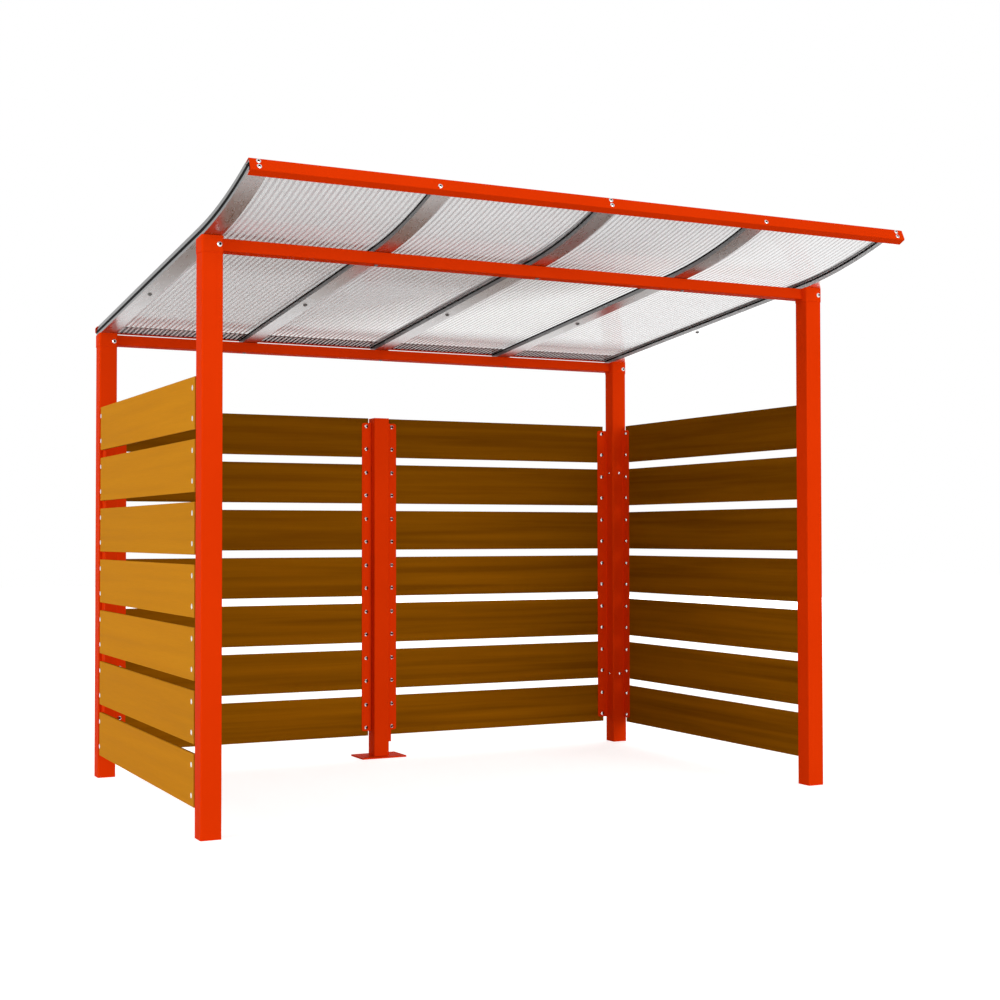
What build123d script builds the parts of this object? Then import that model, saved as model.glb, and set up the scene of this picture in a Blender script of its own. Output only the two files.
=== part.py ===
from build123d import *
import os
from math import atan, cos, radians, sin

# Bin shelter: a steel frame of four corner posts and one short rear post,
# three board walls, and a translucent roof on rafters that sweep up at the front.
# Millimetres, +Z up, the open front faces -Y, the origin is on the ground
# below the middle of the whole object.

# Frame
post_pitch_x = 2900.0
post_pitch_y = 1765.0
post_size = 84.0
post_wall = 3.0
post_radius = 5.0
bearing_front_z = 2334.0
bearing_rear_z = 2151.0
head_wall = 2.0
head_depth = 62.0
beam_size = 50.0
beam_wall = 3.0
beam_radius = 4.0
beam_setback = 30.0

# Middle rear post
middle_post_y = 911.0
middle_post_lid = 3.0
base_plate_x = 250.0
base_plate_y = 170.0
base_plate_thickness = 8.0
base_plate_radius = 6.0
anchor_spacing_x = 200.0
anchor_spacing_y = 120.0
anchor_hole_d = 14.0

# Board walls
board_count = 7
board_height = 207.0
board_pitch = 245.5
board_thickness = 15.0
board_first_z = 113.0
board_edge_chamfer = 1.5
board_gap_rear_post = 26.0
board_gap_middle_post = 19.0
board_gap_front_post = 13.0

# Brackets that carry the boards
bracket_thickness = 3.0
bracket_bend = 4.0
flange_overlap = 37.0
flange_inset_z = 25.0
flange_corner_radius = 12.0
lug_height = 165.0
lug_leg = 45.0
lug_overlap = 30.0
tail_width = 27.0
tail_bottom_z = 76.0

# Roof
rafter_width = 76.0
rafter_height = 16.0
rafter_wall = 2.5
sweep_start_y = -860.0
sweep_radius = 2850.0
sweep_length = 655.0
roof_rear_y = 935.0
seal_thickness = 8.0
seal_width = 14.0
sheet_thickness = 16.0
sheet_edge_gap = 3.0
sheet_joint_gap = 12.0
cap_thickness = 4.0
cap_width = 66.0

# Folded trims along the roof edges
fold_thickness = 2.0
fold_radius = 3.0
fascia_flange = 32.0
fascia_face = 46.0
fascia_lip = 36.0
fascia_lean = 6.5
fascia_standoff = 5.5
fascia_seat_gap = 0.3
trim_flange = 43.0
trim_drop = 22.0
trim_standoff = 3.0
trim_overhang = 5.0


# Derived positions
post_half = post_size / 2
side_x = post_pitch_x / 2
front_y = -post_pitch_y / 2
rear_y = post_pitch_y / 2
outer_x = side_x + post_half
outer_rear_y = rear_y + post_half
slope = atan((bearing_front_z - bearing_rear_z) / (post_pitch_y + post_size))
wall_bottom_z = board_first_z
wall_top_z = board_first_z + (board_count - 1) * board_pitch + board_height
flange_bottom_z = wall_bottom_z + flange_inset_z
flange_top_z = wall_top_z - flange_inset_z
seal_top = rafter_height + seal_thickness
sheet_top = seal_top + sheet_thickness
parts = {}


def bearing_z(y):
    """Height of the sloping plane that the rafters rest on."""
    run = y - (front_y - post_half)
    return bearing_front_z - run * (bearing_front_z - bearing_rear_z) / (post_pitch_y + post_size)


def above_bearing(drop):
    """Large block whose underside is the bearing plane lowered by drop."""
    reach = 2 * post_pitch_x
    plane = Plane(
        origin=(0, 0, bearing_z(0) - drop / cos(slope)),
        x_dir=(1, 0, 0),
        z_dir=(0, sin(slope), cos(slope)),
    )
    return plane * Box(reach, reach, reach, align=(Align.CENTER, Align.CENTER, Align.MIN))


def square_tube(size, wall, radius, length):
    """Rounded square tube standing on the ground plane."""
    outline = RectangleRounded(size, size, radius)
    bore = RectangleRounded(size - 2 * wall, size - 2 * wall, max(radius - wall, wall / 2))
    return extrude(outline - bore, length)


# Corner posts and their slip-on heads
def corner_post():
    return square_tube(post_size, post_wall, post_radius, bearing_front_z + post_size)


def post_head(x, y):
    """Sleeve with a sloping lid, slipped over the top of a post."""
    outer = post_size + 2 * head_wall
    blank = extrude(RectangleRounded(outer, outer, post_radius + head_wall), bearing_front_z + outer)
    blank = Pos(x, y, 0) * blank - above_bearing(0)
    socket = extrude(RectangleRounded(post_size, post_size, post_radius), bearing_front_z + outer)
    socket = Pos(x, y, 0) * socket - above_bearing(head_wall)
    below = bearing_z(y) - head_depth
    skirt = Box(2 * outer, 2 * outer, below, align=(Align.CENTER, Align.CENTER, Align.MIN))
    return blank - socket - Pos(x, y, 0) * skirt


corners = {
    "front_left": (-side_x, front_y),
    "front_right": (side_x, front_y),
    "rear_left": (-side_x, rear_y),
    "rear_right": (side_x, rear_y),
}
for corner, (corner_x, corner_y) in corners.items():
    parts["post_" + corner] = Pos(corner_x, corner_y, 0) * corner_post() - above_bearing(head_wall)
    parts["head_" + corner] = post_head(corner_x, corner_y)


# Middle rear post on its base plate
middle_post = square_tube(
    post_size, post_wall, post_radius, wall_top_z - base_plate_thickness
)
lid = extrude(
    RectangleRounded(post_size - 2 * post_wall, post_size - 2 * post_wall, post_wall / 2),
    middle_post_lid,
)
middle_post += Pos(0, 0, wall_top_z - base_plate_thickness - middle_post_lid) * lid
parts["post_rear_middle"] = Pos(0, middle_post_y, base_plate_thickness) * middle_post

base_plate = extrude(
    RectangleRounded(base_plate_x, base_plate_y, base_plate_radius), base_plate_thickness
)
anchor_holes = GridLocations(anchor_spacing_x, anchor_spacing_y, 2, 2) * Cylinder(
    anchor_hole_d / 2,
    base_plate_thickness,
    align=(Align.CENTER, Align.CENTER, Align.MIN),
)
parts["base_plate_middle"] = Pos(0, middle_post_y, 0) * (base_plate - anchor_holes)


# Front and rear beams between the heads, tilted to the roof slope
def beam(y):
    span = post_pitch_x - post_size - 2 * head_wall
    tube = square_tube(beam_size, beam_wall, beam_radius, span)
    centre_y = y - post_half + beam_setback + beam_size / 2
    lie = Plane(
        origin=(-span / 2, centre_y, bearing_z(centre_y) - beam_size / 2 / cos(slope)),
        x_dir=(0, cos(slope), -sin(slope)),
        z_dir=(1, 0, 0),
    )
    return lie * tube


parts["beam_front"] = beam(front_y)
parts["beam_rear"] = beam(rear_y)


# Roof line: straight over the beams, then a tangent arc that sweeps up to the front
sweep_end = slope + sweep_length / sweep_radius
sweep_start = Vector(sweep_start_y, bearing_z(sweep_start_y))
sweep_centre = sweep_start + Vector(sin(slope), cos(slope)) * sweep_radius


def sweep_point(angle, lift):
    """Point of the arc at a roof angle, lifted square to the roof."""
    return sweep_centre - Vector(sin(angle), cos(angle)) * (sweep_radius - lift)


def roof_strip(low, high, x_from, x_to, rear_cut=0.0, front_cut=0.0):
    """Strip of the roof between two lifts, swept along the roof line."""
    last = sweep_end - front_cut / sweep_radius
    middle = (slope + last) / 2
    along = Vector(cos(slope), -sin(slope))
    square = Vector(sin(slope), cos(slope))
    run = (roof_rear_y - rear_cut - sweep_start_y) / cos(slope)
    rear_low = sweep_start + along * run + square * low
    rear_high = sweep_start + along * run + square * high
    with BuildSketch(Plane.YZ.offset(x_from)) as section:
        with BuildLine():
            Line(rear_low, sweep_point(slope, low))
            ThreePointArc(
                sweep_point(slope, low), sweep_point(middle, low), sweep_point(last, low)
            )
            Line(sweep_point(last, low), sweep_point(last, high))
            ThreePointArc(
                sweep_point(last, high), sweep_point(middle, high), sweep_point(slope, high)
            )
            Line(sweep_point(slope, high), rear_high)
            Line(rear_high, rear_low)
        make_face()
    return extrude(section.sketch, x_to - x_from)


rafter_names = ["left_end", "left_inner", "centre", "right_inner", "right_end"]
rafter_pitch = post_pitch_x / (len(rafter_names) - 1)
rafter_x = {
    name: -side_x + index * rafter_pitch for index, name in enumerate(rafter_names)
}
roof_half = side_x + rafter_width / 2

for name, x in rafter_x.items():
    left = x - rafter_width / 2
    right = x + rafter_width / 2
    shell = roof_strip(0, rafter_height, left, right)
    cavity = roof_strip(
        rafter_wall, rafter_height - rafter_wall, left + rafter_wall, right - rafter_wall
    )
    parts["rafter_" + name] = shell - cavity

seals = []
for x in rafter_x.values():
    edge = rafter_width / 2
    seals.append(roof_strip(rafter_height, seal_top, x - edge, x - edge + seal_width))
    seals.append(roof_strip(rafter_height, seal_top, x + edge - seal_width, x + edge))
parts["roof_seals"] = Compound(seals)

sheet_outer = roof_half - sheet_edge_gap
parts["roof_sheet_left"] = roof_strip(seal_top, sheet_top, -sheet_outer, -sheet_joint_gap / 2)
parts["roof_sheet_right"] = roof_strip(seal_top, sheet_top, sheet_joint_gap / 2, sheet_outer)


# Clamping caps over the two roof edges and the joint between the sheets
def edge_cap(side):
    """Cap with a skirt that closes the edge of the sheet."""
    bounds = sorted([side * roof_half, side * (roof_half - cap_width)])
    skirt = sorted([side * roof_half, side * sheet_outer])
    top = roof_strip(
        sheet_top, sheet_top + cap_thickness, *bounds, rear_cut=trim_flange, front_cut=fascia_flange
    )
    side_wall = roof_strip(
        seal_top, sheet_top + cap_thickness, *skirt, rear_cut=trim_flange, front_cut=fascia_flange
    )
    return top + side_wall


parts["clamp_cap_left"] = edge_cap(-1)
parts["clamp_cap_right"] = edge_cap(1)
parts["clamp_cap_centre"] = roof_strip(
    sheet_top,
    sheet_top + cap_thickness,
    -cap_width / 2,
    cap_width / 2,
    rear_cut=trim_flange,
    front_cut=fascia_flange,
)


# Folded fascia along the front edge and folded trim along the rear edge
def folded_strip(points, half_length):
    """Bent sheet along the roof's width from its inside fold line."""
    with BuildSketch(Plane.YZ.offset(-half_length)) as section:
        with BuildLine():
            FilletPolyline(*points, radius=fold_radius)
            offset(amount=fold_thickness, side=Side.RIGHT)
        make_face()
    return extrude(section.sketch, 2 * half_length)


front_forward = Vector(-cos(sweep_end), sin(sweep_end))
front_up = Vector(sin(sweep_end), cos(sweep_end))
front_corner = sweep_point(sweep_end, sheet_top + fascia_seat_gap)
lean = radians(fascia_lean)
fascia_top = front_corner + front_forward * fascia_standoff
fascia_nose = fascia_top + (front_forward * sin(lean) - front_up * cos(lean)) * fascia_face
fascia_end = fascia_nose + (-front_forward * cos(lean) - front_up * sin(lean)) * fascia_lip
parts["front_fascia"] = folded_strip(
    [fascia_top - front_forward * fascia_flange, fascia_top, fascia_nose, fascia_end], roof_half
)

rear_back = Vector(cos(slope), -sin(slope))
rear_up = Vector(sin(slope), cos(slope))
rear_edge = sweep_start + rear_back * ((roof_rear_y - sweep_start_y) / cos(slope))
trim_top = rear_edge + rear_up * sheet_top + rear_back * trim_standoff
parts["rear_trim"] = folded_strip(
    [trim_top - rear_up * trim_drop, trim_top, trim_top - rear_back * (trim_flange + trim_standoff)],
    roof_half + trim_overhang,
)


# Boards, with eased edges along their length
def board(length):
    """Board lying along X, its outer face on the XZ plane."""
    section = Rectangle(board_thickness, board_height)
    section = chamfer(section.vertices(), board_edge_chamfer)
    return Plane.YZ * extrude(section, length)


def board_wall(length, place):
    """Stack of level boards with even gaps."""
    stack = [
        place * Pos(0, 0, board_first_z + board_height / 2 + index * board_pitch) * board(length)
        for index in range(board_count)
    ]
    return Compound(stack)


side_board_front = front_y + post_half + board_gap_front_post
side_board_rear = rear_y - post_half - board_gap_rear_post
side_board_length = side_board_rear - side_board_front
board_half = board_thickness / 2
rear_board_start = post_half + board_gap_middle_post
rear_board_length = side_x - post_half - board_gap_rear_post - rear_board_start

parts["boards_left_wall"] = board_wall(
    side_board_length, Pos(-outer_x + board_half, side_board_front, 0) * Rot(0, 0, 90)
)
parts["boards_right_wall"] = board_wall(
    side_board_length, Pos(outer_x - board_half, side_board_front, 0) * Rot(0, 0, 90)
)
parts["boards_rear_left"] = board_wall(
    rear_board_length, Pos(-rear_board_start - rear_board_length, outer_rear_y - board_half, 0)
)
parts["boards_rear_right"] = board_wall(
    rear_board_length, Pos(rear_board_start, outer_rear_y - board_half, 0)
)


# Brackets: folded from strip, with rounded flange corners
wall_inner_y = outer_rear_y - board_thickness
wall_inner_x = outer_x - board_thickness
bracket_height = flange_top_z - flange_bottom_z


def bracket_strip(points, side, bottom, height):
    """Folded strip standing on a level, from a face line and its metal side."""
    with BuildSketch(Plane.XY.offset(bottom)) as section:
        with BuildLine():
            FilletPolyline(*points, radius=bracket_bend)
            offset(amount=bracket_thickness, side=side)
        make_face()
    return extrude(section.sketch, height)


def corner_bracket():
    """Bracket round the inner corner of the rear right post."""
    post_x = side_x - post_half
    post_y = rear_y - post_half
    reach_x = post_x - board_gap_rear_post - flange_overlap
    reach_y = post_y - board_gap_rear_post - flange_overlap
    points = [
        (reach_x, wall_inner_y),
        (post_x, wall_inner_y),
        (post_x, post_y),
        (wall_inner_x, post_y),
        (wall_inner_x, reach_y),
    ]
    strip = bracket_strip(points, Side.RIGHT, flange_bottom_z, bracket_height)
    rear_edges = strip.edges().filter_by(Axis.Y).group_by(Axis.X)[0]
    strip = fillet(rear_edges, flange_corner_radius)
    side_edges = strip.edges().filter_by(Axis.X).group_by(Axis.Y)[0]
    return fillet(side_edges, flange_corner_radius)


rear_right_bracket = corner_bracket()
parts["corner_bracket_rear_right"] = rear_right_bracket
parts["corner_bracket_rear_left"] = mirror(rear_right_bracket, Plane.YZ)


flange_face_y = wall_inner_y - bracket_thickness


def middle_bracket():
    """Angle on the right side of the middle post, flange in the board plane."""
    points = [
        (rear_board_start + flange_overlap, flange_face_y),
        (post_half, flange_face_y),
        (post_half, middle_post_y + post_half - post_radius),
    ]
    strip = bracket_strip(points, Side.RIGHT, flange_bottom_z, bracket_height)
    outer_edges = strip.edges().filter_by(Axis.Y).group_by(Axis.X)[-1]
    return fillet(outer_edges, flange_corner_radius)


# The right flange alone runs on downwards as a narrow tail beside the post
tail = Box(
    tail_width - bracket_bend,
    bracket_thickness,
    flange_bottom_z - tail_bottom_z,
    align=(Align.MIN, Align.MIN, Align.MIN),
)
tail = Pos(post_half + bracket_bend, flange_face_y, tail_bottom_z) * tail
parts["middle_bracket_right"] = middle_bracket() + tail
parts["middle_bracket_left"] = mirror(middle_bracket(), Plane.YZ)


def front_lugs():
    """One angle lug behind each board, on the rear face of the front right post."""
    face_y = front_y + post_half
    inner_x = wall_inner_x
    points = [
        (inner_x - lug_leg, face_y),
        (inner_x, face_y),
        (inner_x, side_board_front + lug_overlap),
    ]
    lugs = []
    for index in range(board_count):
        centre = board_first_z + board_height / 2 + index * board_pitch
        lugs.append(bracket_strip(points, Side.LEFT, centre - lug_height / 2, lug_height))
    return lugs


parts["board_lugs_front_right"] = Compound(front_lugs())
parts["board_lugs_front_left"] = mirror(parts["board_lugs_front_right"], Plane.YZ)


# Origin below the middle of the whole object
box = Compound(list(parts.values())).bounding_box()
shift = Pos(-box.center().X, -box.center().Y, -box.min.Z)
os.makedirs("parts", exist_ok=True)
for node, piece in parts.items():
    export_step(shift * piece, "parts/" + node + ".step")
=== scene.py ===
import math

import bmesh
import bpy
from mathutils import Matrix, Vector


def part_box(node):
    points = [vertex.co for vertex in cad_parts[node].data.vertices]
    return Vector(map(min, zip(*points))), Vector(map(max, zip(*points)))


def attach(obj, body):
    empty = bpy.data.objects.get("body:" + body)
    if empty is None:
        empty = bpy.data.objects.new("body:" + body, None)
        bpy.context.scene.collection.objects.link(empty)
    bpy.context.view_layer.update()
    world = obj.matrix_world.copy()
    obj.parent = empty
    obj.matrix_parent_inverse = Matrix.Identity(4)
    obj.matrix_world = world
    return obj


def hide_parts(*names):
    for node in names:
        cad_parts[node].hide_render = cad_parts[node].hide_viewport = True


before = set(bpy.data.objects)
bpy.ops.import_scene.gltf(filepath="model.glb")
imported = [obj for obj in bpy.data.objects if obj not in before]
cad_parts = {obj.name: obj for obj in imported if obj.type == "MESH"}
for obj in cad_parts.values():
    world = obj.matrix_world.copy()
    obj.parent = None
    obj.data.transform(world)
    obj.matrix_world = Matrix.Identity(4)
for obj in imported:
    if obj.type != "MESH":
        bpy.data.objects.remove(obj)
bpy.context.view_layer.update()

# Bin shelter: orange-red powder-coated steel frame, stained board walls and a
# ribbed translucent roof. Metres, +Z up, the open front faces -Y.

# Places read from the frame
def middle_of(node):
    low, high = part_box(node)
    return (low + high) / 2


POST_LOW, POST_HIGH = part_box("post_front_right")
POST_SIZE = POST_HIGH.x - POST_LOW.x
SIDE_X = middle_of("post_front_right").x
FRONT_Y = middle_of("post_front_right").y
REAR_Y = middle_of("post_rear_right").y
WALL_INNER_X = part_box("boards_right_wall")[0].x
WALL_OUTER_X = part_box("boards_right_wall")[1].x
WALL_INNER_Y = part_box("boards_rear_right")[0].y
WALL_OUTER_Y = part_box("boards_rear_right")[1].y

# Boards
BOARD_COUNT = 7
BOARD_HEIGHT = 0.207
BOARD_PITCH = 0.2455
BOARD_FIRST_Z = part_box("boards_right_wall")[0].z
BOARD_GAP_HALF = 0.019
BOARD_BOLT_OFFSET = 0.060

# Roof line: a straight run that rises forwards, then an upward arc tangent to it
BEARING_RISE = 0.183
BEARING_SPAN = 1.849
ROOF_SLOPE = math.atan2(BEARING_RISE, BEARING_SPAN)
STRAIGHT_DEPTH = 1.795
STRAIGHT_LENGTH = STRAIGHT_DEPTH / math.cos(ROOF_SLOPE)
SWEEP_RADIUS = 2.850
SWEEP_LENGTH = 0.655
ARC_STEPS = 24

# Layers of the roof, lifted from the rafters' underside
RAFTER_HEIGHT = 0.016
SEAL_THICKNESS = 0.008
SHEET_THICKNESS = 0.016
SHEET_LIFT = RAFTER_HEIGHT + SEAL_THICKNESS

# Multiwall sheets
SHEET_NODES = ("roof_sheet_left", "roof_sheet_right")
RIB_PITCH = 0.0238
SKIN_CLEARANCE = 0.0002
SHEET_UNDERSIDE = SHEET_LIFT + SKIN_CLEARANCE
SHEET_TOP = SHEET_LIFT + SHEET_THICKNESS - SKIN_CLEARANCE

# Bolt heads
HEAD_SEGMENTS = 24
HEAD_RADIUS = 0.0105
HEAD_HEIGHT = 0.0060
LOW_HEAD_HEIGHT = 0.0022
SUNK_HEAD_HEIGHT = 0.0012
HEAD_CHAMFER = 0.0005
HEAD_RIM_SHARE = 0.15
ROUND_RIM = 0.0006
SPIN_STEP = 0.7

# Sockets, as shares of the head: the hexagon and its mouth, then the levels of
# the dark floor's underside, of the hole's bottom and of the floor's top; the dark floor is painted
# shade
SOCKET_SHARE = 0.46
SOCKET_MOUTH_SHARE = 1.25
SOCKET_LEVELS = (0.30, 0.35, 0.40)
SOCKET_CHAMFER = 0.0002

# Wall bolts
BRACKET_THICKNESS = 0.003
MIDDLE_BOLT_X = 0.072
REAR_BOLT_X = 1.374
SIDE_BOLT_REAR_Y = REAR_Y - 0.0735
SIDE_BOLT_FRONT_Y = FRONT_Y + 0.0875
FLANGE_X = WALL_INNER_X - BRACKET_THICKNESS
FLANGE_Y = WALL_INNER_Y - BRACKET_THICKNESS

# Bolts through the corner brackets' legs and the heads' sleeves
LEG_BOLT_LEVELS = (0.385, 1.525)
LEG_HEAD_RADIUS = 0.0085
LEG_HEAD_HEIGHT = LOW_HEAD_HEIGHT * 1.4
SLEEVE_WALL = 0.002
SLEEVE_BOLT_OFFSET = 0.027
SLEEVE_BOLT_LEVELS = {"front": 2.300, "rear": 2.120}

# Bolts under the beams and rafters
BEAM_BOLT_PLACES = (-0.748, 0.002, 0.748)
BEAM_BOLT_SHIFT = 0.002
BEAM_BOLT_RISE = 0.0022
BEAM_HEAD_RADIUS = 0.0095
BEAM_HEAD_HEIGHT = 0.0045
RAFTER_BOLT_Y = 0.303
RAFTERS = ("left_end", "left_inner", "centre", "right_inner", "right_end")

# Front fascia, as folded in the part, and its rows of bolts
FASCIA_STANDOFF = 0.0055
FASCIA_SEAT_GAP = 0.0003
FASCIA_LEAN = math.radians(6.5)
FOLD_THICKNESS = 0.002
FASCIA_BOLT_ROWS = (
    (2.497, (-1.453, 0.0, 1.453)),
    (2.476, (-1.453, -0.748, 0.0, 0.748, 1.453)),
)
FASCIA_HEAD_RADIUS = 0.0092

# Closure of the sheets' rear ends
END_TAPE_TOP = 0.080

# Outer roof edges
LIP_THICKNESS = 0.0012
LIP_OVERLAP = 0.0025
PROFILE_THICKNESS = 0.0012

# Finishes
COAT_SPECULAR = 0.003
SMOOTH_ROOF = 30
SMOOTH_BOLTS = 35

# Studio, with the camera solved from the photograph
FLOOR_HALF = 30.0
CAMERA_PLACE = (-3.1781, -6.5415, 1.1657)
CAMERA_YAW = math.radians(26.837)
CAMERA_PITCH = math.radians(1.330)
CAMERA_ROLL = math.radians(-0.076)
CAMERA_LENS = 56.24


# Roof line: stations along the rafters' underside, from the rear edge forwards
rafter_low, rafter_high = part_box("rafter_centre")
ROOF_REAR = Vector((rafter_high.y - RAFTER_HEIGHT * math.sin(ROOF_SLOPE), rafter_low.z))
ROOF_END = STRAIGHT_LENGTH + SWEEP_LENGTH


def roof_point(run, lift):
    """(y, z) at a run from the rear edge, lifted square to the roof."""
    forward = Vector((-math.cos(ROOF_SLOPE), math.sin(ROOF_SLOPE)))
    upward = Vector((math.sin(ROOF_SLOPE), math.cos(ROOF_SLOPE)))
    if run <= STRAIGHT_LENGTH:
        return ROOF_REAR + forward * run + upward * lift
    start = ROOF_REAR + forward * STRAIGHT_LENGTH
    centre = start + upward * SWEEP_RADIUS
    angle = ROOF_SLOPE + (run - STRAIGHT_LENGTH) / SWEEP_RADIUS
    return centre - Vector((math.sin(angle), math.cos(angle))) * (SWEEP_RADIUS - lift)


def roof_runs():
    """Runs from the rear edge to the front edge, close together in the sweep."""
    steps = range(1, ARC_STEPS + 1)
    return [0.0, STRAIGHT_LENGTH] + [
        STRAIGHT_LENGTH + SWEEP_LENGTH * step / ARC_STEPS for step in steps
    ]


def roof_line(x, lift):
    """Points of the whole roof line at an x and a lift."""
    points = [roof_point(run, lift) for run in roof_runs()]
    return [(x, point.x, point.y) for point in points]


# Mesh helpers
def finish_piece(name, bm, material, smooth_angle=None):
    """Turns a bmesh into a piece that rides on the shelter."""
    bmesh.ops.recalc_face_normals(bm, faces=bm.faces)
    mesh = bpy.data.meshes.new(name)
    bm.to_mesh(mesh)
    bm.free()
    if smooth_angle is not None:
        for polygon in mesh.polygons:
            polygon.use_smooth = True
        mesh.set_sharp_from_angle(angle=math.radians(smooth_angle))
    piece = bpy.data.objects.new(name, mesh)
    bpy.context.scene.collection.objects.link(piece)
    mesh.materials.append(material)
    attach(piece, "root")
    return piece


def facing(direction, spin=0.0):
    """Rotation that turns local +Z to a direction."""
    turn = Vector((0, 0, 1)).rotation_difference(Vector(direction).normalized())
    return turn.to_matrix().to_4x4() @ Matrix.Rotation(spin, 4, "Z")


def add_ring_stack(bm, rings, place):
    """Skins a stack of rings and closes both ends; a ring is a list of local points."""
    rows = [[bm.verts.new(place @ Vector(point)) for point in ring] for ring in rings]
    count = len(rows[0])
    for lower, upper in zip(rows, rows[1:]):
        for index in range(count):
            following = (index + 1) % count
            bm.faces.new((lower[index], lower[following], upper[following], upper[index]))
    bm.faces.new(list(reversed(rows[0])))
    bm.faces.new(rows[-1])


def add_surface(bm, first, second):
    """Open surface between two lines of points."""
    rows = [[bm.verts.new(point) for point in line] for line in (first, second)]
    for index in range(len(first) - 1):
        bm.faces.new((rows[0][index], rows[0][index + 1], rows[1][index + 1], rows[1][index]))


def add_roof_strip(bm, x_from, x_to, low, high, runs):
    """Closed strip of the roof between two lifts."""
    rings = []
    for run in runs:
        bottom = roof_point(run, low)
        top = roof_point(run, high)
        rings.append([
            (x_from, bottom.x, bottom.y),
            (x_to, bottom.x, bottom.y),
            (x_to, top.x, top.y),
            (x_from, top.x, top.y),
        ])
    add_ring_stack(bm, rings, Matrix.Identity(4))


def circle(radius, z):
    step = 2 * math.pi / HEAD_SEGMENTS
    return [
        (radius * math.cos(i * step), radius * math.sin(i * step), z)
        for i in range(HEAD_SEGMENTS)
    ]


def hexagon(apothem, z):
    """Hexagon with as many points as a circle ring."""
    points = []
    for index in range(HEAD_SEGMENTS):
        angle = 2 * math.pi * index / HEAD_SEGMENTS
        local = (angle + math.pi / 6) % (math.pi / 3) - math.pi / 6
        radius = apothem / math.cos(local)
        points.append((radius * math.cos(angle), radius * math.sin(angle), z))
    return points


def dome_rings(radius, height, steps, inner_radius):
    """Rings of a low dome from its rim to an inner radius."""
    sphere = (radius * radius + height * height) / (2 * height)
    rings = []
    for step in range(steps + 1):
        ring_radius = radius + (inner_radius - radius) * step / steps
        z = math.sqrt(sphere * sphere - ring_radius * ring_radius) - (sphere - height)
        rings.append(circle(ring_radius, z))
    return rings


# Dark floors of all the sockets, painted shade in the recesses, filled by add_socket_bolt
socket_shade_floors = bmesh.new()


def add_socket_bolt(bm, at, direction, spin, height=HEAD_HEIGHT, radius=HEAD_RADIUS):
    """Button head with a hexagon socket; the socket's dark floor, painted shade in the recess, goes
    into the sockets piece.
    """
    place = Matrix.Translation(at) @ facing(direction, spin)
    rim = height * HEAD_RIM_SHARE
    socket = radius * SOCKET_SHARE
    rings = [circle(radius - HEAD_CHAMFER, 0.0), circle(radius, rim / 2)]
    for ring in dome_rings(radius, height - rim, 5, socket * SOCKET_MOUTH_SHARE):
        rings.append([(x, y, z + rim) for x, y, z in ring])
    floor_low, bottom, floor_high = (hexagon(socket, height * z) for z in SOCKET_LEVELS)
    rings.append(hexagon(socket, height - SOCKET_CHAMFER))
    rings.append(bottom)
    add_ring_stack(bm, rings, place)
    add_ring_stack(socket_shade_floors, [floor_low, floor_high], place)


def add_round_bolt(bm, at, direction, radius, height):
    """Plain mushroom head."""
    place = Matrix.Translation(at) @ facing(direction)
    rings = [circle(radius * 0.96, 0.0), circle(radius, ROUND_RIM)]
    for ring in dome_rings(radius, height, 6, radius * 0.08):
        rings.append([(x, y, z + ROUND_RIM) for x, y, z in ring])
    add_ring_stack(bm, rings, place)


# Material helpers
def new_material(name):
    material = bpy.data.materials.new(name)
    material.use_nodes = True
    tree = material.node_tree
    tree.nodes.clear()
    output = tree.nodes.new("ShaderNodeOutputMaterial")
    shader = tree.nodes.new("ShaderNodeBsdfPrincipled")
    tree.links.new(shader.outputs["BSDF"], output.inputs["Surface"])
    return material, tree, shader


def add(tree, kind, inputs=None, **settings):
    """Adds a node with its properties; an input is a socket to link or a value."""
    item = tree.nodes.new(kind)
    for key, value in settings.items():
        setattr(item, key, value)
    for key, value in (inputs or {}).items():
        if isinstance(value, bpy.types.NodeSocket):
            tree.links.new(value, item.inputs[key])
        else:
            item.inputs[key].default_value = value
    return item


def math_node(tree, operation, first, second=None, clamp=False):
    inputs = {0: first}
    if second is not None:
        inputs[1] = second
    return add(tree, "ShaderNodeMath", inputs, operation=operation, use_clamp=clamp).outputs[0]


def position(tree):
    return add(tree, "ShaderNodeTexCoord").outputs["Object"]


def stretched(tree, source, scale):
    """Position scaled by axis, in repeats a metre."""
    return add(tree, "ShaderNodeVectorMath", {0: source, 1: scale}, operation="MULTIPLY").outputs[0]


def noise(tree, vector, scale, detail=2.0, rough=0.5, distortion=0.0):
    inputs = {
        "Vector": vector,
        "Scale": scale,
        "Detail": detail,
        "Roughness": rough,
        "Distortion": distortion,
    }
    return add(tree, "ShaderNodeTexNoise", inputs).outputs["Fac"]


def ramp(tree, factor, stops):
    """Colour ramp from a list of (place, colour)."""
    item = add(tree, "ShaderNodeValToRGB", {"Fac": factor})
    elements = item.color_ramp.elements
    elements[0].position, elements[0].color = stops[0][0], (*stops[0][1], 1)
    elements[1].position, elements[1].color = stops[-1][0], (*stops[-1][1], 1)
    for place, colour in stops[1:-1]:
        element = elements.new(place)
        element.color = (*colour, 1)
    return item.outputs["Color"]


def map_range(tree, value, low, high, to_low, to_high):
    inputs = {
        "Value": value,
        "From Min": low,
        "From Max": high,
        "To Min": to_low,
        "To Max": to_high,
    }
    return add(tree, "ShaderNodeMapRange", inputs).outputs["Result"]


def mix_colour(tree, factor, first, second, mode="MIX"):
    item = add(tree, "ShaderNodeMix", data_type="RGBA", blend_type=mode)
    for key, value in ((0, factor), (6, first), (7, second)):
        if isinstance(value, bpy.types.NodeSocket):
            tree.links.new(value, item.inputs[key])
        else:
            item.inputs[key].default_value = value
    return item.outputs[2]


def bump(tree, height, strength, distance):
    inputs = {"Height": height, "Strength": strength, "Distance": distance}
    return add(tree, "ShaderNodeBump", inputs).outputs["Normal"]


def grey(tree, tone):
    """Grey colour of a computed tone."""
    inputs = {"Red": tone, "Green": tone, "Blue": tone}
    return add(tree, "ShaderNodeCombineColor", inputs).outputs["Color"]


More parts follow.
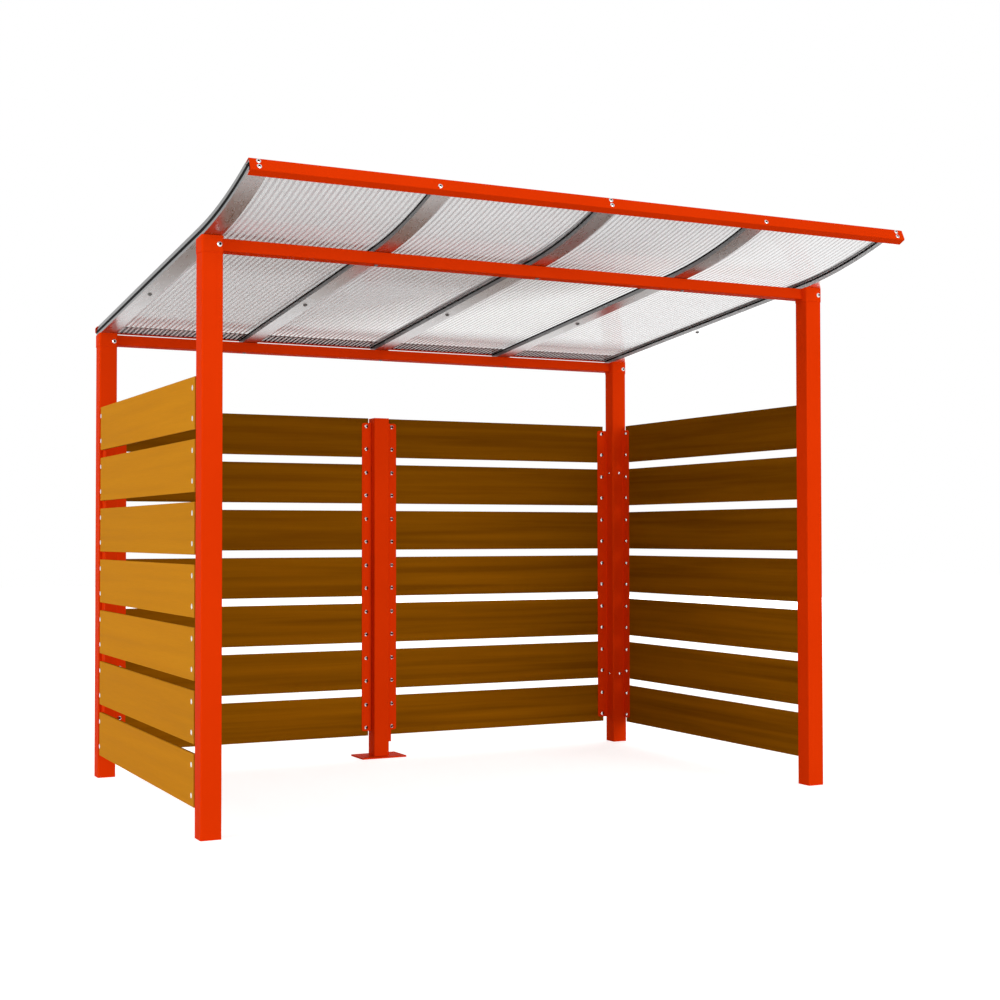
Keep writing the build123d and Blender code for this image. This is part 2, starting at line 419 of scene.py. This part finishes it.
def axis_of(tree, vector, axis):
    return add(tree, "ShaderNodeSeparateXYZ", {"Vector": vector}).outputs[axis]


def finish_shader(tree, shader, linked, fixed):
    """Links computed inputs of the shader and sets its fixed ones."""
    for key, socket in linked.items():
        tree.links.new(socket, shader.inputs[key])
    for key, value in fixed.items():
        shader.inputs[key].default_value = value


# Powder coating: orange-red, faint orange peel, and a painted highlight: paler along the edges
def make_powder_coat():
    material, tree, shader = new_material("powder_coat")
    place = position(tree)
    clouds = noise(tree, place, 2.3, 3.0)
    base = ramp(tree, clouds, [(0.3, (0.715, 0.0345, 0.0006)), (0.7, (0.755, 0.0385, 0.0009))])
    # painted highlight: paler colour along the edges, found from the bevel normal
    rounded = add(tree, "ShaderNodeBevel", {"Radius": 0.0025}, samples=4).outputs["Normal"]
    true_normal = add(tree, "ShaderNodeNewGeometry").outputs["Normal"]
    alike = add(tree, "ShaderNodeVectorMath", {0: rounded, 1: true_normal}, operation="DOT_PRODUCT")
    edge = map_range(tree, alike.outputs["Value"], 0.97, 0.80, 0.0, 0.3)
    colour = mix_colour(tree, edge, base, (0.84, 0.060, 0.007, 1))
    peel = noise(tree, place, 420.0, 2.0, 0.6)
    linked = {
        "Base Color": colour,
        "Roughness": map_range(tree, clouds, 0.3, 0.7, 0.36, 0.46),
        "Normal": bump(tree, peel, 0.08, 0.0003),
    }
    finish_shader(tree, shader, linked, {"Specular IOR Level": COAT_SPECULAR})
    return material


# Boards: golden stain outside; darker brown inside, partly stain and partly painted shade of the
# inner faces; grain along the board
def make_board_material(name, along, across):
    """along and across are the axis letters of the boards' length and thickness."""
    material, tree, shader = new_material(name)
    place = position(tree)
    height = axis_of(tree, place, "Z")
    level = math_node(tree, "SUBTRACT", height, BOARD_FIRST_Z - BOARD_GAP_HALF)
    index = math_node(tree, "FLOOR", math_node(tree, "DIVIDE", level, BOARD_PITCH))
    scatter = add(tree, "ShaderNodeTexWhiteNoise", {"W": index}, noise_dimensions="1D")
    shuffle = scatter.outputs["Value"]
    jump = {
        along: math_node(tree, "MULTIPLY", shuffle, 37.0),
        "Z": math_node(tree, "MULTIPLY", shuffle, 11.0),
    }
    offset = add(tree, "ShaderNodeCombineXYZ", jump).outputs["Vector"]
    moved = add(tree, "ShaderNodeVectorMath", {0: place, 1: offset}, operation="ADD").outputs[0]
    broad_scale = {along: 0.7, across: 16.0, "Z": 26.0}
    fine_scale = {along: 7.0, across: 260.0, "Z": 300.0}
    broad = stretched(tree, moved, tuple(broad_scale[axis] for axis in "XYZ"))
    fine = stretched(tree, moved, tuple(fine_scale[axis] for axis in "XYZ"))
    figure = noise(tree, broad, 1.0, 4.0, 0.5, 0.35)
    pores = noise(tree, fine, 1.0, 3.0, 0.6)
    golden = ramp(tree, figure, [
        (0.30, (0.535, 0.210, 0.0088)),
        (0.50, (0.565, 0.225, 0.0105)),
        (0.72, (0.590, 0.240, 0.0125)),
    ])
    # inner faces: darker brown, partly stain and partly painted shade
    brown = ramp(tree, figure, [
        (0.30, (0.165, 0.053, 0.0004)),
        (0.50, (0.215, 0.071, 0.0006)),
        (0.72, (0.260, 0.088, 0.0010)),
    ])
    middle = {
        "X": (WALL_INNER_X + WALL_OUTER_X) / 2,
        "Y": (WALL_INNER_Y + WALL_OUTER_Y) / 2,
    }[across]
    depth = axis_of(tree, place, across)
    if across == "X":
        depth = math_node(tree, "ABSOLUTE", depth)
    outside = map_range(tree, depth, middle - 0.002, middle + 0.002, 0.0, 1.0)
    # painted shade: the inner brown is lighter on the lowest board and darker towards the top
    rise = map_range(tree, index, 0.0, BOARD_COUNT - 1.0, 0.0, 1.0)
    height_shade = mix_colour(tree, rise, (1.14, 1.14, 1.14, 1), (0.84, 0.83, 0.83, 1))
    brown = mix_colour(tree, 1.0, brown, height_shade, "MULTIPLY")
    # golden outside, brown with its painted shade inside
    stain_and_shade = mix_colour(tree, outside, brown, golden)
    shade = map_range(tree, pores, 0.25, 0.75, 0.955, 1.035)
    board_tone = map_range(tree, shuffle, 0.0, 1.0, 0.97, 1.03)
    tone = math_node(tree, "MULTIPLY", shade, board_tone)
    linked = {
        "Base Color": mix_colour(tree, 1.0, stain_and_shade, grey(tree, tone), "MULTIPLY"),
        "Roughness": map_range(tree, figure, 0.3, 0.7, 0.50, 0.62),
        "Normal": bump(tree, pores, 0.15, 0.0004),
    }
    finish_shader(tree, shader, linked, {"Specular IOR Level": COAT_SPECULAR})
    return material


# Rafters: satin aluminium with soft drawn streaks along their length, and painted
# shade that makes it darker towards the left and on the flanks
def make_aluminium():
    material, tree, shader = new_material("satin_aluminium")
    place = position(tree)
    drawn = noise(tree, stretched(tree, place, (120.0, 0.8, 120.0)), 1.0, 2.0, 0.5)
    clouds = noise(tree, stretched(tree, place, (9.0, 1.0, 9.0)), 1.0, 2.0)
    streaks = ramp(tree, drawn, [(0.3, (0.86, 0.86, 0.865)), (0.7, (0.93, 0.93, 0.93))])
    # painted shade: darker towards the left, by x
    side = map_range(tree, axis_of(tree, place, "X"), 0.9, 1.4, 0.50, 1.0)
    shade = math_node(tree, "ADD", side, math_node(tree, "MULTIPLY", clouds, 0.06))
    # painted shade: faces turned along x, the flanks, are darker
    normal = add(tree, "ShaderNodeNewGeometry").outputs["Normal"]
    sideways = math_node(tree, "ABSOLUTE", axis_of(tree, normal, "X"))
    flank_shade = map_range(tree, sideways, 0.6, 0.9, 1.0, 0.45)
    shade_and_haze = grey(tree, math_node(tree, "MULTIPLY", shade, flank_shade))
    linked = {
        "Base Color": mix_colour(tree, 1.0, streaks, shade_and_haze, "MULTIPLY"),
        "Roughness": map_range(tree, drawn, 0.3, 0.7, 0.26, 0.32),
        "Normal": bump(tree, drawn, 0.015, 0.0002),
    }
    finish_shader(tree, shader, linked, {"Metallic": 1.0})
    return material


# Rubber and the bolts' metals: one colour with a fine grain
def make_grained(name, scale, dark, light, roughness, relief, fixed):
    """roughness is (low, high), relief is the bump's (strength, distance)."""
    material, tree, shader = new_material(name)
    grain = noise(tree, position(tree), scale, 2.0)
    linked = {
        "Base Color": ramp(tree, grain, [(0.3, dark), (0.7, light)]),
        "Roughness": map_range(tree, grain, 0.3, 0.7, *roughness),
        "Normal": bump(tree, grain, *relief),
    }
    finish_shader(tree, shader, linked, fixed)
    return material


# Multiwall sheet: thin milky lines between clear ones; painted shade makes it more
# opaque to the front left, and it is also more opaque at the rear
def make_sheet_material(name, clear, milky, added_opacity):
    """Opacities: of the clear and the milky lines, and the most opacity added to the front left and
    at the rear.
    """
    material, tree, shader = new_material(name)
    place = position(tree)
    split = add(tree, "ShaderNodeSeparateXYZ", {"Vector": place})
    phase = math_node(tree, "FRACT", math_node(tree, "DIVIDE", split.outputs["X"], RIB_PITCH))
    band = math_node(tree, "ABSOLUTE", math_node(tree, "SUBTRACT", phase, 0.5))
    line = map_range(tree, band, 0.24, 0.34, 0.0, 1.0)
    haze = noise(tree, place, 3.0, 2.0)
    turned = math_node(tree, "MULTIPLY", split.outputs["Y"], 0.6)
    diagonal = math_node(tree, "ADD", split.outputs["X"], turned)
    # painted shade: more opaque towards the front left
    left = map_range(tree, diagonal, -0.20, 0.42, 1.0, 0.0)
    behind = map_range(tree, split.outputs["Y"], -1.04, -0.24, 0.55, 1.0)
    outer = map_range(tree, split.outputs["X"], -1.1, -0.6, 1.3, 1.0)
    left = math_node(tree, "MULTIPLY", math_node(tree, "MULTIPLY", left, behind), outer)
    # more opaque at the rear
    rear = map_range(tree, split.outputs["Y"], 0.75, 0.98, 0.0, 0.9)
    closed = map_range(tree, split.outputs["Y"], 1.00, 1.04, 0.0, 1.0)
    boost_share = math_node(tree, "MAXIMUM", left, rear)
    boost_cut = math_node(tree, "MULTIPLY", closed, 0.8)
    boost_share = math_node(tree, "SUBTRACT", boost_share, boost_cut, clamp=True)
    colour = mix_colour(tree, line, (0.66, 0.66, 0.665, 1), (0.80, 0.80, 0.81, 1))
    strength = math_node(tree, "ADD", milky, math_node(tree, "MULTIPLY", closed, milky * 0.6))
    lines = math_node(tree, "ADD", clear, math_node(tree, "MULTIPLY", line, strength))
    shade_and_haze = map_range(tree, haze, 0.3, 0.7, -0.008, 0.008)
    opacity_boost = math_node(tree, "MULTIPLY", boost_share, added_opacity)
    hazed = math_node(tree, "ADD", lines, shade_and_haze)
    linked = {
        "Base Color": colour,
        "Alpha": math_node(tree, "ADD", hazed, opacity_boost, clamp=True),
        "Roughness": map_range(tree, haze, 0.3, 0.7, 0.08, 0.14),
    }
    finish_shader(tree, shader, linked, {"Specular IOR Level": 0.06})
    return material


def make_web_material():
    material, tree, shader = new_material("multiwall_web")
    haze = noise(tree, position(tree), 5.0, 2.0)
    linked = {
        "Base Color": ramp(tree, haze, [(0.3, (0.74, 0.74, 0.75)), (0.7, (0.82, 0.82, 0.83))]),
        "Roughness": map_range(tree, haze, 0.3, 0.7, 0.18, 0.26),
    }
    finish_shader(tree, shader, linked, {"Alpha": 0.03, "Specular IOR Level": 0.25})
    return material


powder_coat = make_powder_coat()
aluminium = make_aluminium()
rubber = make_grained(
    "black_rubber", 600.0, (0.005, 0.005, 0.005), (0.009, 0.009, 0.009),
    (0.62, 0.8), (0.2, 0.0003), {"Specular IOR Level": 0.03},
)
stainless = make_grained(
    "bright_stainless", 900.0, (0.66, 0.66, 0.66), (0.74, 0.74, 0.73),
    (0.16, 0.26), (0.05, 0.0001), {"Metallic": 1.0},
)
# painted shade: the bolts under the beams and rafters take a dark metal colour
shaded_metal = make_grained(
    "shaded_metal", 700.0, (0.10, 0.10, 0.10), (0.16, 0.16, 0.155),
    (0.30, 0.42), (0.05, 0.0001), {"Metallic": 1.0},
)
side_boards = make_board_material("side_boards", "Y", "X")
rear_boards = make_board_material("rear_boards", "X", "Y")
sheet_bottom = make_sheet_material("multiwall_bottom", 0.05, 0.60, 0.36)
sheet_top = make_sheet_material("multiwall_top", 0.06, 0.0, 0.37)
sheet_web = make_web_material()


# Finishes of the frame's own nodes
def node_material(node):
    if node in ("boards_left_wall", "boards_right_wall"):
        return side_boards
    if node.startswith("boards_"):
        return rear_boards
    if node.startswith(("rafter_", "clamp_cap_")):
        return aluminium
    if node == "roof_seals":
        return rubber
    if node.startswith("roof_sheet_"):
        return sheet_bottom
    return powder_coat


for node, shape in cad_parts.items():
    shape.data.materials.clear()
    shape.data.materials.append(node_material(node))


# Roof sheets: two skins on upright webs, the cells running front to back
def make_sheet(node):
    low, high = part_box(node)
    lower = bmesh.new()
    add_surface(lower, roof_line(low.x, SHEET_UNDERSIDE), roof_line(high.x, SHEET_UNDERSIDE))
    upper = bmesh.new()
    add_surface(upper, roof_line(low.x, SHEET_TOP), roof_line(high.x, SHEET_TOP))
    webs = bmesh.new()
    cells = round((high.x - low.x) / RIB_PITCH)
    pitch = (high.x - low.x) / cells
    for index in range(cells + 1):
        x = low.x + index * pitch
        add_surface(webs, roof_line(x, SHEET_UNDERSIDE), roof_line(x, SHEET_TOP))
    for part, bm, material in (
        ("bottom", lower, sheet_bottom),
        ("top", upper, sheet_top),
        ("webs", webs, sheet_web),
    ):
        piece = finish_piece(node + "_" + part, bm, material, SMOOTH_ROOF)
        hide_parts(node)


# Closure of the rear ends: dark tape over the cells' ends and along the top
def make_rear_closure():
    tape = bmesh.new()
    top = SHEET_LIFT + SHEET_THICKNESS - SKIN_CLEARANCE / 2
    for node in SHEET_NODES:
        low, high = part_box(node)
        add_roof_strip(tape, low.x, high.x, top, top + SKIN_CLEARANCE, [0.0, END_TAPE_TOP])
        add_roof_strip(tape, low.x, high.x, SHEET_LIFT, top, [-SKIN_CLEARANCE, 0.0])
    finish_piece("rear_tape", tape, rubber)


# Outer roof edges: the gasket's lip over rafter and sheet, and above it a flat
# aluminium edge profile
def make_roof_edges():
    lips = bmesh.new()
    profiles = bmesh.new()
    runs = roof_runs()
    rafter_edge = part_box("rafter_right_end")[1].x
    sheet_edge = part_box("roof_sheet_right")[1].x
    lip_low = RAFTER_HEIGHT - LIP_OVERLAP
    lip_top = SHEET_LIFT + LIP_OVERLAP
    profile_top = SHEET_LIFT + SHEET_THICKNESS
    for side in (-1, 1):
        outer = side * (rafter_edge + LIP_THICKNESS)
        add_roof_strip(lips, side * rafter_edge, outer, lip_low, lip_top, runs)
        outer = side * (sheet_edge + PROFILE_THICKNESS)
        add_roof_strip(profiles, side * sheet_edge, outer, lip_top, profile_top, runs)
    finish_piece("gasket_lips", lips, rubber, SMOOTH_ROOF)
    finish_piece("edge_profiles", profiles, aluminium, SMOOTH_ROOF)


# Fixings
def board_levels():
    """Heights of the two bolts in each board."""
    for index in range(BOARD_COUNT):
        centre = BOARD_FIRST_Z + BOARD_HEIGHT / 2 + index * BOARD_PITCH
        for offset in (-BOARD_BOLT_OFFSET, BOARD_BOLT_OFFSET):
            yield centre + offset


def make_wall_bolts():
    """Socket heads on the brackets inside, low heads on the boards outside."""
    inside = bmesh.new()
    outside = bmesh.new()
    spin = 0.0
    for z in board_levels():
        for side in (-1, 1):
            for x in (side * MIDDLE_BOLT_X, side * REAR_BOLT_X):
                spin += SPIN_STEP
                add_socket_bolt(inside, (x, FLANGE_Y, z), (0, -1, 0), spin)
                head = (x, WALL_OUTER_Y, z)
                add_round_bolt(outside, head, (0, 1, 0), HEAD_RADIUS, SUNK_HEAD_HEIGHT)
            for y in (SIDE_BOLT_REAR_Y, SIDE_BOLT_FRONT_Y):
                spin += SPIN_STEP
                add_socket_bolt(inside, (side * FLANGE_X, y, z), (-side, 0, 0), spin)
                head = (side * WALL_OUTER_X, y, z)
                add_round_bolt(outside, head, (side, 0, 0), HEAD_RADIUS, SUNK_HEAD_HEIGHT)
    finish_piece("wall_bolts_inside", inside, stainless, SMOOTH_BOLTS)
    finish_piece("wall_bolts_outside", outside, stainless, SMOOTH_BOLTS)


def make_post_bolts():
    """Two bolts through each leg of the corner brackets, and one in each head."""
    bolts = bmesh.new()
    inner_y = REAR_Y - POST_SIZE / 2 - BRACKET_THICKNESS
    for side in (-1, 1):
        inner_x = side * (SIDE_X - POST_SIZE / 2 - BRACKET_THICKNESS)
        for z in LEG_BOLT_LEVELS:
            for at, direction in (
                ((inner_x, REAR_Y, z), (-side, 0, 0)),
                ((side * SIDE_X, inner_y, z), (0, -1, 0)),
            ):
                add_round_bolt(bolts, at, direction, LEG_HEAD_RADIUS, LEG_HEAD_HEIGHT)
        for y, row in ((FRONT_Y, "front"), (REAR_Y, "rear")):
            face = y - POST_SIZE / 2 - SLEEVE_WALL
            at = (side * SIDE_X + SLEEVE_BOLT_OFFSET, face, SLEEVE_BOLT_LEVELS[row])
            add_socket_bolt(bolts, at, (0, -1, 0), side + y)
    finish_piece("post_bolts", bolts, stainless, SMOOTH_BOLTS)


def make_roof_fixings():
    """Heads under the beams and under each rafter, square to the roof."""
    bolts = bmesh.new()
    down = (0, -math.sin(ROOF_SLOPE), -math.cos(ROOF_SLOPE))
    for beam in ("beam_front", "beam_rear"):
        low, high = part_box(beam)
        y = (low.y + high.y) / 2 - BEAM_BOLT_SHIFT
        z = low.z + BEAM_BOLT_RISE
        for x in BEAM_BOLT_PLACES:
            add_round_bolt(bolts, (x, y, z), down, BEAM_HEAD_RADIUS, BEAM_HEAD_HEIGHT)
    under = roof_point((ROOF_REAR.x - RAFTER_BOLT_Y) / math.cos(ROOF_SLOPE), 0.0)
    for name in RAFTERS:
        x = middle_of("rafter_" + name).x
        add_socket_bolt(bolts, (x, under.x, under.y), down, x)
    # dark metal colour of these heads: painted shade under the roof
    finish_piece("roof_bolts", bolts, shaded_metal, SMOOTH_BOLTS)


def make_fascia_bolts():
    """Two rows of heads on the fascia's leaning face."""
    bolts = bmesh.new()
    angle = ROOF_SLOPE + SWEEP_LENGTH / SWEEP_RADIUS
    forward = Vector((0, -math.cos(angle), math.sin(angle)))
    upward = Vector((0, math.sin(angle), math.cos(angle)))
    corner_y, corner_z = roof_point(ROOF_END, SHEET_LIFT + SHEET_THICKNESS + FASCIA_SEAT_GAP)
    top = Vector((0, corner_y, corner_z)) + forward * FASCIA_STANDOFF
    downward = forward * math.sin(FASCIA_LEAN) - upward * math.cos(FASCIA_LEAN)
    outward = forward * math.cos(FASCIA_LEAN) + upward * math.sin(FASCIA_LEAN)
    for row, (height, places) in enumerate(FASCIA_BOLT_ROWS):
        along = (top.z - height) / -downward.z
        at = top + downward * along + outward * FOLD_THICKNESS
        for x in places:
            head = (x, at.y, at.z)
            add_socket_bolt(bolts, head, outward, x + row, LOW_HEAD_HEIGHT, FASCIA_HEAD_RADIUS)
    finish_piece("fascia_bolts", bolts, stainless, SMOOTH_BOLTS)


for node in SHEET_NODES:
    make_sheet(node)
make_rear_closure()
make_roof_edges()
make_wall_bolts()
make_post_bolts()
make_roof_fixings()
make_fascia_bolts()
# the sockets' dark floors: painted shade, in black rubber
finish_piece("painted_socket_shade", socket_shade_floors, rubber)


# Studio: pale floor, soft light, camera at the photograph's viewing angle
def background_rays(tree):
    """1 for the rays that show the background: camera, glossy and transmission rays."""
    rays = add(tree, "ShaderNodeLightPath").outputs
    seen = math_node(tree, "MAXIMUM", rays["Is Camera Ray"], rays["Is Glossy Ray"])
    return math_node(tree, "MAXIMUM", seen, rays["Is Transmission Ray"])


def make_floor():
    material = bpy.data.materials.new("studio_floor")
    material.use_nodes = True
    tree = material.node_tree
    tree.nodes.clear()
    output = tree.nodes.new("ShaderNodeOutputMaterial")
    matt = add(tree, "ShaderNodeBsdfDiffuse", {"Color": (0.90, 0.90, 0.90, 1)})
    glow = add(tree, "ShaderNodeEmission", {"Color": (1, 1, 1, 1), "Strength": 0.68})
    seen = background_rays(tree)
    lit = add(tree, "ShaderNodeAddShader", {0: matt.outputs[0], 1: glow.outputs[0]})
    mixed = add(tree, "ShaderNodeMixShader", {0: seen, 1: matt.outputs[0], 2: lit.outputs[0]})
    tree.links.new(mixed.outputs[0], output.inputs["Surface"])
    bm = bmesh.new()
    signs = ((-1, -1), (1, -1), (1, 1), (-1, 1))
    bm.faces.new([bm.verts.new((x * FLOOR_HALF, y * FLOOR_HALF, 0.0)) for x, y in signs])
    mesh = bpy.data.meshes.new("studio_floor")
    bm.to_mesh(mesh)
    bm.free()
    mesh.materials.append(material)
    floor = bpy.data.objects.new("studio_floor", mesh)
    bpy.context.scene.collection.objects.link(floor)


def make_world():
    world = bpy.data.worlds.new("studio_world")
    bpy.context.scene.world = world
    world.use_nodes = True
    tree = world.node_tree
    tree.nodes.clear()
    output = tree.nodes.new("ShaderNodeOutputWorld")
    seen = background_rays(tree)
    soft = add(tree, "ShaderNodeBackground", {"Color": (1, 1, 1, 1), "Strength": 0.40})
    white = add(tree, "ShaderNodeBackground", {"Color": (1, 1, 1, 1), "Strength": 1.0})
    mixed = add(tree, "ShaderNodeMixShader", {0: seen, 1: soft.outputs[0], 2: white.outputs[0]})
    tree.links.new(mixed.outputs[0], output.inputs["Surface"])


def make_lamp(name, at, target, size, power):
    lamp = bpy.data.lights.new(name, "AREA")
    lamp.shape = "SQUARE"
    lamp.size = size
    lamp.energy = power
    holder = bpy.data.objects.new(name, lamp)
    holder.location = at
    holder.rotation_euler = (Vector(target) - Vector(at)).to_track_quat("-Z", "Y").to_euler()
    bpy.context.scene.collection.objects.link(holder)


def make_camera():
    level = Vector((math.sin(CAMERA_YAW), math.cos(CAMERA_YAW), 0.0)) * math.cos(CAMERA_PITCH)
    forward = level + Vector((0.0, 0.0, math.sin(CAMERA_PITCH)))
    right = Vector((math.cos(CAMERA_YAW), -math.sin(CAMERA_YAW), 0.0))
    upward = right.cross(forward)
    rolled_right = right * math.cos(CAMERA_ROLL) + upward * math.sin(CAMERA_ROLL)
    rolled_up = upward * math.cos(CAMERA_ROLL) - right * math.sin(CAMERA_ROLL)
    data = bpy.data.cameras.new("camera")
    data.sensor_width = 36.0
    data.lens = CAMERA_LENS
    data.clip_end = 200.0
    camera = bpy.data.objects.new("camera", data)
    turn = Matrix((rolled_right, rolled_up, -forward)).transposed().to_4x4()
    camera.matrix_world = Matrix.Translation(CAMERA_PLACE) @ turn
    bpy.context.scene.collection.objects.link(camera)
    bpy.context.scene.camera = camera


make_floor()
make_world()
make_lamp("key", (8.0, -40.0, 7.0), (0.0, 0.4, 1.1), 26.0, 10900.0)
make_lamp("side", (-17.5, -3.5, 5.0), (0.0, 0.0, 1.2), 12.0, 1650.0)
make_lamp("fill", (15.0, 16.0, 6.0), (0.0, 0.4, 1.2), 12.0, 1700.0)
make_camera()
bpy.context.scene.view_settings.view_transform = "Standard"
